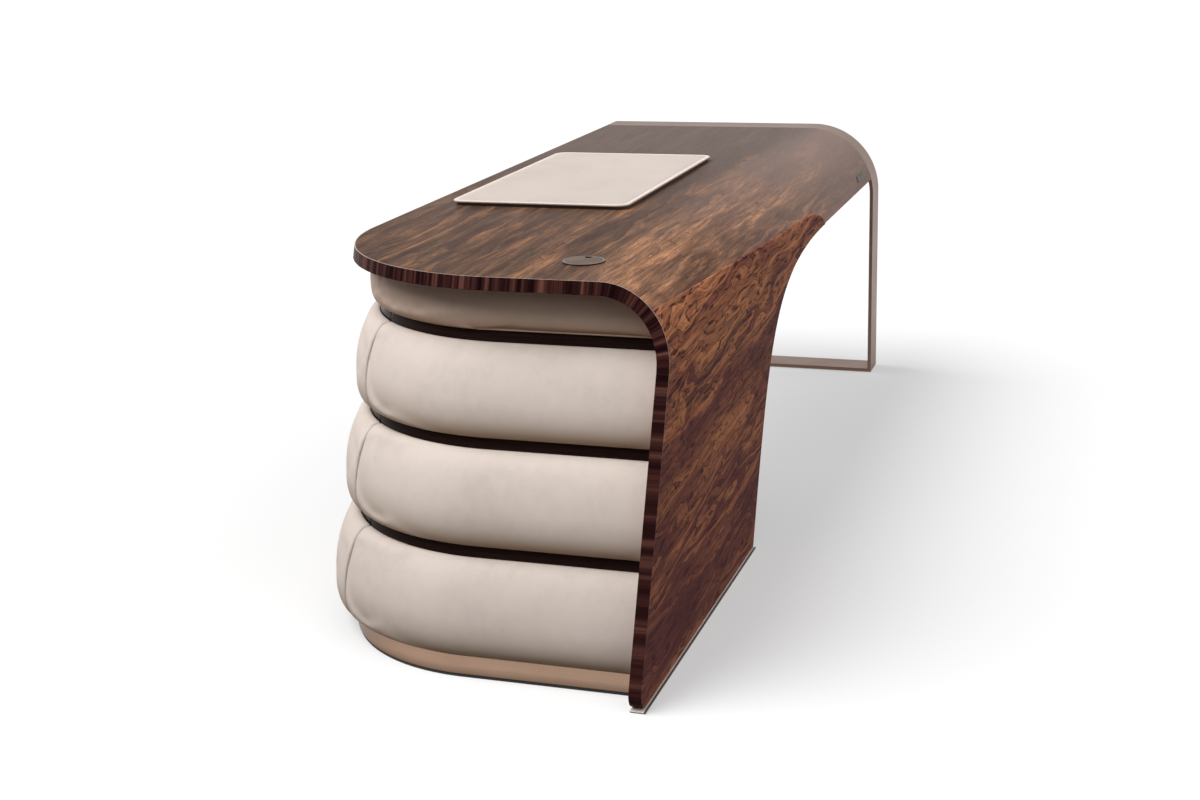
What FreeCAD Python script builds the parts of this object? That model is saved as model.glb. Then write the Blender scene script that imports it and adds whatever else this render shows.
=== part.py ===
import FreeCAD
import Part
import math
import os

# Executive desk in millimetres. It is drawn with the far end at x = 0, the near end at -x,
# the visitor face at y = 0 and the floor at z = 0, and is moved to its own centre at the end.

# Heights of the stack, from the floor up
FOOT_H = 8.0              # dark foot under the plinth
PLINTH_TOP = 39.5         # top of the metal skirt
BAND_H = 177.0            # one leather band
REVEAL_H = 21.0           # dark strip between two bands
APRON_BAND_H = 91.5       # top leather band
SHEET = 25.0              # moulded veneer sheet
DRAWERS = 3

# Moulded top and panel
TOP_LENGTH = 2255.0       # far end to near edge at the writing surface
TOP_DEPTH = 832.0         # visitor face to user edge
LEAN_DEG = 21.8           # near end leans out toward the floor
CORNER_R = 450.0          # near corner on the user side
BEND_R_NEAR = 154.0       # bend on the visitor side, near end
BEND_R_FAR = 197.0        # the same bend at the far end
EDGE_BAND = 2.0           # edge veneer
APRON_DROP = 150.0        # writing surface to the lower edge of the apron
PANEL_WIDTH = 901.0       # panel at the floor
PANEL_CORNER_R = 28.0     # lower near corner
PANEL_FOOT_H = 2.0        # dark strip under the base plate of the panel
PANEL_FOOT_INSET = 1.0    # from the edges of the plate
PANEL_TRIM_H = 2.0        # metal base plate
PANEL_TRIM_PROUD = 7.0    # plate past the visitor face
PANEL_TRIM_INSET = 0.5    # plate to the inner face and to the panel's far edge
PANEL_TRIM_NEAR = 18.0    # near plane at the floor to the near end of the plate
SEAM_DROP_NEAR = 47.0     # writing surface to the veneer seam at the near edge
SEAM_DROP_TIP = 103.0     # the same where the tip begins
TIP_X = 825.0             # far end to the end of the tip
TIP_RUN = 135.0
TIP_HANDLE = 50.0
SWEEP_LOW_Z = 80.0        # the panel's far edge is straight below this
SWEEP_HANDLE_Z = 481.0
SWEEP_HANDLE_X = 559.0

# Metal end frame
BAR_W = 95.0
BAR_T = 10.0
GLIDE_H = 2.0
GLIDE_R = 12.0
GLIDES = 4
PLATE_W = 60.0
PLATE_T = 5.0
PLATE_INSET = 30.0        # from the bend of the top
PLATE_SCREWS = 6

# Bare plate on the apron
BADGE_X = 238.0           # far end to its middle
BADGE_Z = 121.0           # below the writing surface
BADGE_L = 104.0
BADGE_H = 16.0
BADGE_T = 1.4

# Writing pad
PAD_X = 738.0             # far end to its far edge
PAD_L = 780.0
PAD_D = 440.0
PAD_USER_INSET = 65.0
PAD_R = 30.0
PAD_RIM_R = 2.0
PAD_T = 5.0
PAD_BASE_T = 7.0
PAD_BASE_INSET = 6.0

# Cable grommet
GROMMET_NEAR = 175.0      # near edge of the writing surface to its middle
GROMMET_Y = 243.0         # visitor face to its middle
GROMMET_R = 44.0
SLEEVE_R = 40.0
SLEEVE_T = 3.0
GROMMET_LIP = 2.5
GROMMET_RIM_R = 1.25      # rounding of the lip
LEDGE_W = 3.0
LEDGE_T = 3.0
CAP_T = 5.0
CAP_CHAMFER = 1.0
CAP_RUN = 0.3             # clearance round the cap
NOTCH_W = 16.0
NOTCH_DEEP = 14.0

# Pedestal
NEAR_INSET = 88.0         # dark strips set in from the near plane of the panel
USER_INSET = 4.0          # bands set in from the user edge
BULGE = 50.0              # bands stand out from the strips
APRON_BULGE = 34.0        # the top band stands out less
BULGE_EDGE = 7.0          # thickness of a band at its upper and lower edge
BAND_STEPS = 8            # sections of a band
APRON_STEPS = 6
APRON_TOP_DEG = 20.0      # where the ellipse of the top band is cut by the sheet
PED_WIDTH = 700.0
FAR_CORNER_R = 80.0
WALL = 18.0
BACK_T = 16.0
PARTING_DEG = 46.0        # drawer fronts part from the end bands at this angle round each corner
PARTING_GAP = 2.0
BAND_GAP = 0.6            # bands to the boards above and below

# Plinth
PLINTH_NEAR_INSET = 82.0  # from the near plane of the panel
PLINTH_USER_INSET = 95.0  # from the user edge of the top
PLINTH_FAR_INSET = 12.0   # from the far wall
PLINTH_R = 350.0
PLINTH_FAR_R = 60.0
SKIRT_T = 2.0
SKIRT_LAP = 1.0           # skirt hangs this far over the foot
FOOT_INSET = 4.0
FOOT_W = 60.0
TOP_SCREWS = 3            # along each of two rows
TOP_SCREW_BACK = 60.0     # first screw from the bend of the top
TOP_SCREW_FRONT = 120.0   # last screw from the face of the strips
CABLE_R = 30.0            # cable holes down the near back corner
CABLE_IN = 80.0           # their distance inside the near wall and the back board

# Drawers
FRONT_GAP = 2.0           # front board to the boards above and below
BOX_SIDE = 12.0
BOX_BOTTOM = 8.0
BOX_CLEAR = 6.0           # box to the carcass at each side
BOX_HEAD = 20.0           # box to the board above
BACK_CLEAR = 30.0         # box to the back board
RAIL_FRONT_CLEAR = 106.7  # runners end this far behind the face of the strips
RAIL_W = 30.0
RAIL_H = 20.0
RAIL_T = 2.0
RAIL_RUN = 0.4
RAIL_SPLIT = 1.0
RAIL_INSET = 18.0

# Screws
SCREW_R = 2.4
SCREW_HEAD_R = 4.8
SCREW_HEAD_H = 3.0
SCREW_SLOT_W = 1.2
SCREW_SLOT_DEEP = 1.2
SCREW_BITE = 11.0         # how far a screw goes into the sheet
SCREW_RUN = 0.05

FIT = 0.3                 # gap between fitted pieces
OVER = 1.0                # cutters pass a face by this
REACH = 400.0             # cutting solids run this far past the work

# Sizes that follow
V = FreeCAD.Vector
LEAN = math.tan(math.radians(LEAN_DEG))
PITCH = BAND_H + REVEAL_H
CARCASS_TOP = PLINTH_TOP + DRAWERS * PITCH + APRON_BAND_H
HEIGHT = CARCASS_TOP + SHEET
NEAR_FLOOR = -TOP_LENGTH - LEAN * HEIGHT
BEND_X = NEAR_FLOOR + LEAN * (HEIGHT - BEND_R_NEAR)
GROMMET_X = TOP_LENGTH - GROMMET_NEAR
BACK_Y = SHEET + FIT
RECESS_Y = TOP_DEPTH - USER_INSET - BULGE
RECESS_X = NEAR_FLOOR + NEAR_INSET
PED_CORNER_R = CORNER_R - BULGE
PARTING = math.radians(PARTING_DEG)
PANEL_Z = PANEL_FOOT_H + PANEL_TRIM_H
CARCASS_Y = BACK_Y + BACK_T
BOX_BACK_Y = CARCASS_Y + BACK_CLEAR
RAIL_L = RECESS_Y - RAIL_FRONT_CLEAR - BOX_BACK_Y
SUPPORTS = [PLINTH_TOP + i * PITCH for i in range(DRAWERS)]


def block(x0, y0, z0, x1, y1, z1):
    return Part.makeBox(x1 - x0, y1 - y0, z1 - z0, V(x0, y0, z0))


def rounded_wire(corners, place):
    """Closed wire through (u, v, radius) corners; place turns (u, v) into a point."""
    spans = []
    count = len(corners)
    for i, (u, v, radius) in enumerate(corners):
        here = V(u, v, 0)
        if radius <= 0:
            spans.append((here, None, here))
            continue
        before = V(corners[i - 1][0], corners[i - 1][1], 0).sub(here).normalize()
        after = V(corners[(i + 1) % count][0], corners[(i + 1) % count][1], 0).sub(here).normalize()
        half = before.getAngle(after) / 2
        run = radius / math.tan(half)
        centre = here + (before + after).normalize() * (radius / math.sin(half))
        middle = centre + (here - centre).normalize() * radius
        spans.append((here + before * run, middle, here + after * run))
    edges = []
    for i, (start, middle, end) in enumerate(spans):
        last = spans[i - 1][2]
        if (start - last).Length > 1e-6:
            edges.append(Part.makeLine(place(last.x, last.y), place(start.x, start.y)))
        if middle is not None:
            arc = Part.Arc(place(start.x, start.y), place(middle.x, middle.y), place(end.x, end.y))
            edges.append(arc.toShape())
    return Part.Wire(edges)


def plan(z):
    return lambda u, v: V(u, v, z)


def oblique(face, rise):
    """Extrude a level face along the lean of the near end."""
    return face.extrude(V(LEAN * rise, 0, rise))


def bend_radius(x):
    return BEND_R_FAR + (BEND_R_NEAR - BEND_R_FAR) * x / BEND_X


def quarter(x, radius, inset):
    """Arc of the bend seen along the desk, inset from the outer face."""
    reach = radius - inset
    slope = reach * math.sqrt(0.5)
    low = V(x, inset, HEIGHT - radius)
    middle = V(x, radius - slope, HEIGHT - radius + slope)
    high = V(x, radius, HEIGHT - inset)
    return low, middle, high


def arc_edge(points):
    return Part.Arc(*points).toShape()


def skin_section(x, radius, inset, thick, low_z, end_y):
    """Closed section of a bent skin whose outer face is inset from the outer face of the sheet."""
    outer = quarter(x, radius, inset)
    inner = quarter(x, radius, inset + thick)
    points = [
        outer[2],
        V(x, end_y, HEIGHT - inset),
        V(x, end_y, HEIGHT - inset - thick),
        inner[2],
    ]
    foot = [inner[0], V(x, inset + thick, low_z), V(x, inset, low_z), outer[0]]
    edges = [Part.makeLine(points[i], points[i + 1]) for i in range(3)]
    edges.append(arc_edge(inner[::-1]))
    edges += [Part.makeLine(foot[i], foot[i + 1]) for i in range(3)]
    edges.append(arc_edge(outer))
    return Part.Wire(edges)


def bend_section(x, inset, thick, low_z):
    """Closed section of the bend alone, up to where the top becomes flat."""
    outer = quarter(x, bend_radius(x), inset)
    inner = quarter(x, bend_radius(x), inset + thick)
    foot = [inner[0], V(x, inset + thick, low_z), V(x, inset, low_z), outer[0]]
    edges = [Part.makeLine(outer[2], inner[2]), arc_edge(inner[::-1])]
    edges += [Part.makeLine(foot[i], foot[i + 1]) for i in range(3)]
    edges.append(arc_edge(outer))
    return Part.Wire(edges)


def top_skin(inset, thick, x0, x1, end_y):
    """Skin of the top: a bend whose radius changes along the desk, and the flat beyond it."""
    low_z = HEIGHT - max(BEND_R_NEAR, BEND_R_FAR) - SHEET
    bend = Part.makeLoft([bend_section(x, inset, thick, low_z) for x in (x0, x1)], True, True)
    flat_z = HEIGHT - inset - thick
    corners = [(x0, bend_radius(x0), 0), (x0, end_y, 0), (x1, end_y, 0), (x1, bend_radius(x1), 0)]
    flat = Part.Face(rounded_wire(corners, plan(flat_z))).extrude(V(0, 0, thick))
    return bend.fuse(flat)


def under_space():
    """Room under the top and behind the panel, a fit away from both."""
    wires = []
    for x in (NEAR_FLOOR - REACH, 0.0):
        radius = bend_radius(x)
        arc = quarter(x, radius, SHEET + FIT)
        far = TOP_DEPTH + REACH
        line = [arc[2], V(x, far, HEIGHT - SHEET - FIT), V(x, far, -REACH), V(x, BACK_Y, -REACH), arc[0]]
        edges = [Part.makeLine(line[i], line[i + 1]) for i in range(4)]
        edges.append(arc_edge(arc))
        wires.append(Part.Wire(edges))
    return Part.makeLoft(wires, True, True)


def top_outline(inset):
    """Leaning prism with the plan outline of the top, open past the far end and the visitor face."""
    near = NEAR_FLOOR - LEAN * PANEL_Z + inset
    user = TOP_DEPTH - inset
    corners = [
        (near, -REACH, 0),
        (near, user, CORNER_R - inset),
        (LEAN * HEIGHT + REACH, user, 0),
        (LEAN * HEIGHT + REACH, -REACH, 0),
    ]
    return oblique(Part.Face(rounded_wire(corners, plan(-PANEL_Z))), HEIGHT + 2 * PANEL_Z)


def corner_arc(corner, first, second, radius):
    """Start, middle and end of a fillet between two unit directions that leave a corner."""
    half = first.getAngle(second) / 2
    run = radius / math.tan(half)
    centre = corner + (first + second).normalize() * (radius / math.sin(half))
    return [corner + first * run, centre + (corner - centre).normalize() * radius, corner + second * run]


def panel_corner(low_z, near_inset, radius):
    """Fillet at the lower near corner of the panel, in side view."""
    low = V(NEAR_FLOOR + LEAN * low_z + near_inset, low_z, 0)
    return corner_arc(low, V(1, 0, 0), V(LEAN, 1, 0).normalize(), radius)


def panel_outline(low_z, near_inset, radius):
    """Prism across the desk with the side outline of the panel."""
    def place(point):
        return V(point.x, -REACH, point.y)

    seam_near = HEIGHT - SEAM_DROP_NEAR
    high = V(NEAR_FLOOR + LEAN * seam_near + near_inset, seam_near, 0)
    tip_start = V(-TIP_X - TIP_RUN, HEIGHT - SEAM_DROP_TIP, 0)
    tip_end = V(-TIP_X, HEIGHT - APRON_DROP, 0)
    far_x = NEAR_FLOOR + PANEL_WIDTH
    sweep_end = V(far_x + LEAN * SWEEP_LOW_Z, SWEEP_LOW_Z, 0)
    far_low = V(far_x + LEAN * low_z, low_z, 0)
    corner = panel_corner(low_z, near_inset, radius)
    seam_slope = tip_start.sub(V(NEAR_FLOOR + LEAN * seam_near, seam_near, 0)).normalize()
    tip = [tip_start, tip_start + seam_slope * (TIP_RUN - TIP_HANDLE), tip_end]
    sweep_handle = V(far_x + LEAN * SWEEP_HANDLE_Z, SWEEP_HANDLE_Z, 0)
    sweep = [tip_end, tip_end - V(SWEEP_HANDLE_X, 0, 0), sweep_handle, sweep_end]
    edges = [arc_edge([place(p) for p in corner])]
    edges.append(Part.makeLine(place(corner[2]), place(high)))
    edges.append(Part.makeLine(place(high), place(tip_start)))
    for poles in (tip, sweep):
        curve = Part.BezierCurve()
        curve.setPoles([place(p) for p in poles])
        edges.append(curve.toShape())
    edges.append(Part.makeLine(place(sweep_end), place(far_low)))
    edges.append(Part.makeLine(place(far_low), place(corner[0])))
    return Part.Face(Part.Wire(edges)).extrude(V(0, TOP_DEPTH + 2 * REACH, 0))


def pedestal_wire(offset, z, back_y):
    near = RECESS_X + LEAN * z - offset
    far = RECESS_X + LEAN * z + PED_WIDTH + offset
    user = RECESS_Y + offset
    corners = [
        (near, back_y, 0),
        (near, user, PED_CORNER_R + offset),
        (far, user, FAR_CORNER_R + offset),
        (far, back_y, 0),
    ]
    return rounded_wire(corners, plan(z))


def pedestal_prism(offset, z0, z1, back_y=BACK_Y):
    return oblique(Part.Face(pedestal_wire(offset, z0, back_y)), z1 - z0)


def pedestal_ring(outer, inner, z0, z1):
    hollow = pedestal_prism(inner, z0, z1, BACK_Y - REACH)
    return pedestal_prism(outer, z0, z1).cut(hollow)


def band(z0, z1, bulge, first, last, steps):
    """Padded band: its stand-off follows an ellipse from angle first to angle last."""
    low = math.sin(math.radians(first))
    span = math.sin(math.radians(last)) - low
    wires = []
    for i in range(steps + 1):
        angle = math.radians(first + (last - first) * i / steps)
        z = z0 + (z1 - z0) * (math.sin(angle) - low) / span
        offset = BULGE_EDGE + (bulge - BULGE_EDGE) * math.cos(angle)
        wires.append(pedestal_wire(offset, z, BACK_Y))
    loft = Part.makeLoft(wires, True, False)
    return loft.cut(pedestal_prism(FIT, z0 - OVER, z1 + OVER, BACK_Y - REACH))


def parting_points(gap):
    """Near and far ends of the two parting planes at the floor, moved by gap toward the user."""
    reach = PED_WIDTH + TOP_DEPTH
    out = V(-math.cos(PARTING), math.sin(PARTING), 0) * reach
    near = V(RECESS_X + PED_CORNER_R, RECESS_Y - PED_CORNER_R, 0)
    near = near + V(math.sin(PARTING), math.cos(PARTING), 0) * gap
    far = V(RECESS_X + PED_WIDTH - FAR_CORNER_R, RECESS_Y - FAR_CORNER_R, 0)
    far = far + V(-math.sin(PARTING), math.cos(PARTING), 0) * gap
    return near, near + out, far, far + V(-out.x, out.y, 0)


def zone(points):
    """Leaning prism over a floor polygon, from below the floor to above the top."""
    low = V(-LEAN * REACH, 0, -REACH)
    face = Part.Face(Part.makePolygon([p + low for p in points + points[:1]]))
    return oblique(face, HEIGHT + 2 * REACH)


def near_zone():
    axis, tip, _, _ = parting_points(-PARTING_GAP / 2)
    return zone([axis, tip, V(tip.x, -REACH, 0), V(axis.x, -REACH, 0)])


def far_zone():
    _, _, axis, tip = parting_points(-PARTING_GAP / 2)
    return zone([axis, tip, V(tip.x, -REACH, 0), V(axis.x, -REACH, 0)])


def user_zone():
    near, near_tip, far, far_tip = parting_points(PARTING_GAP / 2)
    return zone([near, near_tip, far_tip, far])


def plinth_prism(inset, z0, z1):
    """Leaning plinth outline, set in from the face of the skirt."""
    near = NEAR_FLOOR + LEAN * z0 + PLINTH_NEAR_INSET + inset
    far = RECESS_X + LEAN * z0 + PED_WIDTH - PLINTH_FAR_INSET - inset
    user = TOP_DEPTH - PLINTH_USER_INSET - inset
    back_y = BACK_Y if inset < FOOT_INSET + FOOT_W else BACK_Y - REACH
    corners = [
        (near, back_y, 0),
        (near, user, PLINTH_R - inset),
        (far, user, max(PLINTH_FAR_R - inset, 0)),
        (far, back_y, 0),
    ]
    return oblique(Part.Face(rounded_wire(corners, plan(z0))), z1 - z0)


def cylinder(x, y, z0, z1, radius):
    return Part.makeCylinder(radius, z1 - z0, V(x, y, z0))


def screw(x, y, head_z, tip_z):
    """Pan-head screw pointing up; its head sits under head_z."""
    head = cylinder(x, y, head_z - SCREW_HEAD_H, head_z, SCREW_HEAD_R)
    low_z = head_z - SCREW_HEAD_H
    half = SCREW_SLOT_W / 2
    slot_z = low_z + SCREW_SLOT_DEEP
    head = head.cut(block(x - SCREW_HEAD_R, y - half, low_z - OVER, x + SCREW_HEAD_R, y + half, slot_z))
    return head.fuse(cylinder(x, y, head_z, tip_z, SCREW_R)).removeSplitter()


def pilot_hole(x, y, face_z):
    """Hole for a screw that goes up into the sheet from its lower face."""
    return cylinder(x, y, face_z - OVER, face_z + SCREW_BITE + OVER, SCREW_R + SCREW_RUN)


def cable_hole(z0, z1):
    """Cable way through a board of the pedestal, inside the near back corner."""
    x = RECESS_X + LEAN * (z0 + z1) / 2 + WALL + CABLE_IN
    return cylinder(x, CARCASS_Y + CABLE_IN, z0 - OVER, z1 + OVER, CABLE_R)


parts = {}

# Moulded sheet: the top, the panel and their edge veneer
outline = top_outline(0.0)
core = top_outline(EDGE_BAND)
panel_prism = panel_outline(PANEL_Z, 0.0, PANEL_CORNER_R)
panel_core = panel_outline(PANEL_Z + EDGE_BAND, EDGE_BAND, PANEL_CORNER_R - EDGE_BAND)
top_blank = top_skin(0.0, SHEET, NEAR_FLOOR - REACH, 0.0, TOP_DEPTH)
floor_cut = block(NEAR_FLOOR - 2 * REACH, -REACH, -REACH, REACH, TOP_DEPTH + REACH, HEIGHT - APRON_DROP)
top_blank = top_blank.common(outline).cut(floor_cut).cut(panel_prism)
panel_section = skin_section(NEAR_FLOOR - REACH, BEND_R_NEAR, 0.0, SHEET, -REACH, TOP_DEPTH)
panel_blank = Part.Face(panel_section).extrude(V(TOP_LENGTH + REACH, 0, 0))
panel_blank = panel_blank.common(panel_prism)

# Bent bar of the end frame and the rebate that takes it
bar_section = skin_section(-BAR_W, BEND_R_FAR, 0.0, BAR_T, GLIDE_H, TOP_DEPTH)
bent_bar = Part.Face(bar_section).extrude(V(BAR_W, 0, 0))
rebate_section = skin_section(-BAR_W - FIT, BEND_R_FAR, -BAR_T, 2 * BAR_T + FIT, -REACH, TOP_DEPTH + REACH)
rebate = Part.Face(rebate_section).extrude(V(BAR_W + REACH, 0, 0))
user_post = block(-BAR_W, TOP_DEPTH - BAR_T, GLIDE_H, 0.0, TOP_DEPTH, HEIGHT - BAR_T)
post_room = block(-BAR_W - FIT, TOP_DEPTH - BAR_T - FIT, 0.0, REACH, TOP_DEPTH + REACH, HEIGHT)
top_blank = top_blank.cut(rebate).cut(post_room)
parts["end_frame_bent_bar"] = bent_bar
parts["end_frame_user_post"] = user_post
parts["end_frame_floor_bar"] = block(-BAR_W, BAR_T, GLIDE_H, 0.0, TOP_DEPTH - BAR_T, GLIDE_H + BAR_T)

glides = []
for i in range(GLIDES):
    y = BAR_W / 2 + i * (TOP_DEPTH - BAR_W) / (GLIDES - 1)
    glides.append(cylinder(-BAR_W / 2, y, 0.0, GLIDE_H, GLIDE_R))
parts["end_frame_glides"] = Part.makeCompound(glides)

# Fixing plate under the top and its screws
under_z = HEIGHT - SHEET
plate_y0 = BEND_R_FAR + PLATE_INSET
plate_y1 = TOP_DEPTH - BAR_T
plate_x = -BAR_W / 2
plate = block(plate_x - PLATE_W / 2, plate_y0, under_z - PLATE_T, plate_x + PLATE_W / 2, plate_y1, under_z)
plate_screws = []
for i in range(PLATE_SCREWS):
    y = plate_y0 + (i + 0.5) * (plate_y1 - plate_y0) / PLATE_SCREWS
    plate = plate.cut(cylinder(plate_x, y, under_z - 2 * PLATE_T, under_z + OVER, SCREW_R + FIT))
    top_blank = top_blank.cut(pilot_hole(plate_x, y, under_z))
    plate_screws.append(screw(plate_x, y, under_z - PLATE_T, under_z + SCREW_BITE))
parts["end_frame_plate"] = plate
parts["end_frame_screws"] = Part.makeCompound(plate_screws)

# Cable grommet
grommet_z = HEIGHT + GROMMET_LIP
bore_r = SLEEVE_R - SLEEVE_T
ledge_z = grommet_z - CAP_T - CAP_RUN
ring = cylinder(-GROMMET_X, GROMMET_Y, HEIGHT, grommet_z, GROMMET_R)
rim = [edge for edge in ring.Edges if edge.BoundBox.ZMin > HEIGHT + 0.1 and edge.BoundBox.XLength > GROMMET_R]
ring = ring.makeFillet(GROMMET_RIM_R, rim)
ring = ring.fuse(cylinder(-GROMMET_X, GROMMET_Y, under_z, HEIGHT, SLEEVE_R))
ring = ring.cut(cylinder(-GROMMET_X, GROMMET_Y, ledge_z, grommet_z + OVER, bore_r))
ring = ring.cut(cylinder(-GROMMET_X, GROMMET_Y, under_z - OVER, ledge_z - LEDGE_T, bore_r))
ring = ring.cut(cylinder(-GROMMET_X, GROMMET_Y, under_z - OVER, grommet_z + OVER, bore_r - LEDGE_W))
parts["grommet_ring"] = ring.removeSplitter()
top_blank = top_blank.cut(cylinder(-GROMMET_X, GROMMET_Y, under_z - OVER, HEIGHT + OVER, SLEEVE_R + FIT))
cap = cylinder(-GROMMET_X, GROMMET_Y, ledge_z + CAP_RUN, grommet_z, bore_r - CAP_RUN)
rim = [edge for edge in cap.Edges if edge.BoundBox.ZMin > grommet_z - 0.1]
cap = cap.makeChamfer(CAP_CHAMFER, rim)
half = NOTCH_W / 2
notch_x = -GROMMET_X + bore_r - NOTCH_DEEP + half
notch = block(notch_x, GROMMET_Y - half, ledge_z, notch_x + REACH, GROMMET_Y + half, grommet_z + OVER)
notch = notch.fuse(cylinder(notch_x, GROMMET_Y, ledge_z, grommet_z + OVER, half))
parts["grommet_cap"] = cap.cut(notch)

# Screws that hold the top on the pedestal
board_z = CARCASS_TOP - FIT - WALL
room = under_space()
ped_top = pedestal_prism(-WALL - FIT, board_z, CARCASS_TOP).common(room)
ped_top = ped_top.cut(cylinder(-GROMMET_X, GROMMET_Y, board_z - OVER, CARCASS_TOP + OVER, SLEEVE_R))
ped_screws = []
row_near = RECESS_X + LEAN * CARCASS_TOP + PED_CORNER_R
row_far = RECESS_X + LEAN * CARCASS_TOP + PED_WIDTH - 2 * FAR_CORNER_R
screw_y0 = BEND_R_FAR + TOP_SCREW_BACK
screw_y1 = RECESS_Y - TOP_SCREW_FRONT
for i in range(TOP_SCREWS):
    y = screw_y0 + i * (screw_y1 - screw_y0) / (TOP_SCREWS - 1)
    for x in (row_near, row_far):
        ped_top = ped_top.cut(cylinder(x, y, board_z - OVER, CARCASS_TOP + OVER, SCREW_R + FIT))
        top_blank = top_blank.cut(pilot_hole(x, y, under_z))
        ped_screws.append(screw(x, y, board_z, under_z + SCREW_BITE))
parts["pedestal_screws"] = Part.makeCompound(ped_screws)
parts["pedestal_top_board"] = ped_top

parts["desk_top"] = top_blank.common(core)
parts["side_panel"] = panel_blank.common(panel_core)
parts["edge_veneer"] = top_blank.cut(core).fuse(panel_blank.cut(panel_core)).removeSplitter()

# Base plate and foot strip under the panel
trim_x0 = NEAR_FLOOR + PANEL_TRIM_NEAR
trim_x1 = NEAR_FLOOR + PANEL_WIDTH - PANEL_TRIM_INSET
trim_y1 = SHEET - PANEL_TRIM_INSET
parts["panel_trim"] = block(trim_x0, -PANEL_TRIM_PROUD, PANEL_FOOT_H, trim_x1, trim_y1, PANEL_Z)
inset = PANEL_FOOT_INSET
foot_y0 = inset - PANEL_TRIM_PROUD
parts["panel_foot"] = block(trim_x0 + inset, foot_y0, 0.0, trim_x1 - inset, trim_y1 - inset, PANEL_FOOT_H)

# Bare plate on the apron
badge = top_skin(-BADGE_T, BADGE_T, -BADGE_X - BADGE_L, -BADGE_X + BADGE_L, TOP_DEPTH)
badge_z = HEIGHT - BADGE_Z
badge_x0 = -BADGE_X - BADGE_L / 2
badge_z0 = badge_z - BADGE_H / 2
badge_box = block(badge_x0, -REACH, badge_z0, badge_x0 + BADGE_L, REACH, badge_z0 + BADGE_H)
parts["badge_plate"] = badge.common(badge_box)

# Writing pad
pad_user = TOP_DEPTH - PAD_USER_INSET


def pad_slab(inset, z0, z1):
    corners = [
        (-PAD_X - PAD_L + inset, pad_user - PAD_D + inset, PAD_R - inset),
        (-PAD_X - PAD_L + inset, pad_user - inset, PAD_R - inset),
        (-PAD_X - inset, pad_user - inset, PAD_R - inset),
        (-PAD_X - inset, pad_user - PAD_D + inset, PAD_R - inset),
    ]
    return Part.Face(rounded_wire(corners, plan(z0))).extrude(V(0, 0, z1 - z0))


parts["writing_pad_base"] = pad_slab(PAD_BASE_INSET, HEIGHT, HEIGHT + PAD_BASE_T)
pad = pad_slab(0.0, HEIGHT + PAD_BASE_T, HEIGHT + PAD_BASE_T + PAD_T)
rim = [edge for edge in pad.Edges if edge.BoundBox.ZMin > HEIGHT + PAD_BASE_T + PAD_T - 0.1]
parts["writing_pad"] = pad.makeFillet(PAD_RIM_R, rim)

# Pedestal carcass
wall_ring = pedestal_ring(0.0, -WALL, PLINTH_TOP, CARCASS_TOP).common(room)
parts["pedestal_near_wall"] = wall_ring.common(near_zone())
parts["pedestal_far_wall"] = wall_ring.common(far_zone())
apron_z = CARCASS_TOP - APRON_BAND_H
apron_zone = user_zone().common(block(NEAR_FLOOR, 0.0, apron_z, 0.0, TOP_DEPTH, HEIGHT))
parts["pedestal_apron_board"] = wall_ring.common(apron_zone)
back = pedestal_prism(-WALL, PLINTH_TOP, apron_z - REVEAL_H)
parts["pedestal_back"] = back.common(block(NEAR_FLOOR, BACK_Y, 0.0, 0.0, CARCASS_Y, HEIGHT)).common(room)
base_board = plinth_prism(SKIRT_T + FIT, FOOT_H, PLINTH_TOP)
parts["pedestal_base_board"] = base_board.cut(cable_hole(FOOT_H, PLINTH_TOP))
skirt_z = FOOT_H - SKIRT_LAP
skirt_core = plinth_prism(SKIRT_T, skirt_z, PLINTH_TOP)
parts["plinth_skirt"] = plinth_prism(0.0, skirt_z, PLINTH_TOP).cut(skirt_core)
foot_core = plinth_prism(FOOT_INSET + FOOT_W, 0.0, FOOT_H)
parts["plinth_foot"] = plinth_prism(FOOT_INSET, 0.0, FOOT_H).cut(foot_core)
for i in range(DRAWERS):
    z0 = SUPPORTS[i] + BAND_H
    z1 = z0 + REVEAL_H
    inner = pedestal_prism(-WALL, z0, z1, CARCASS_Y)
    if i == DRAWERS - 1:
        inner = pedestal_prism(-WALL, z0, z1).common(room)
    nose = pedestal_prism(0.0, z0, z1).common(user_zone())
    parts["divider_%d" % (i + 1)] = inner.fuse(nose).removeSplitter().cut(cable_hole(z0, z1))

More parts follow.
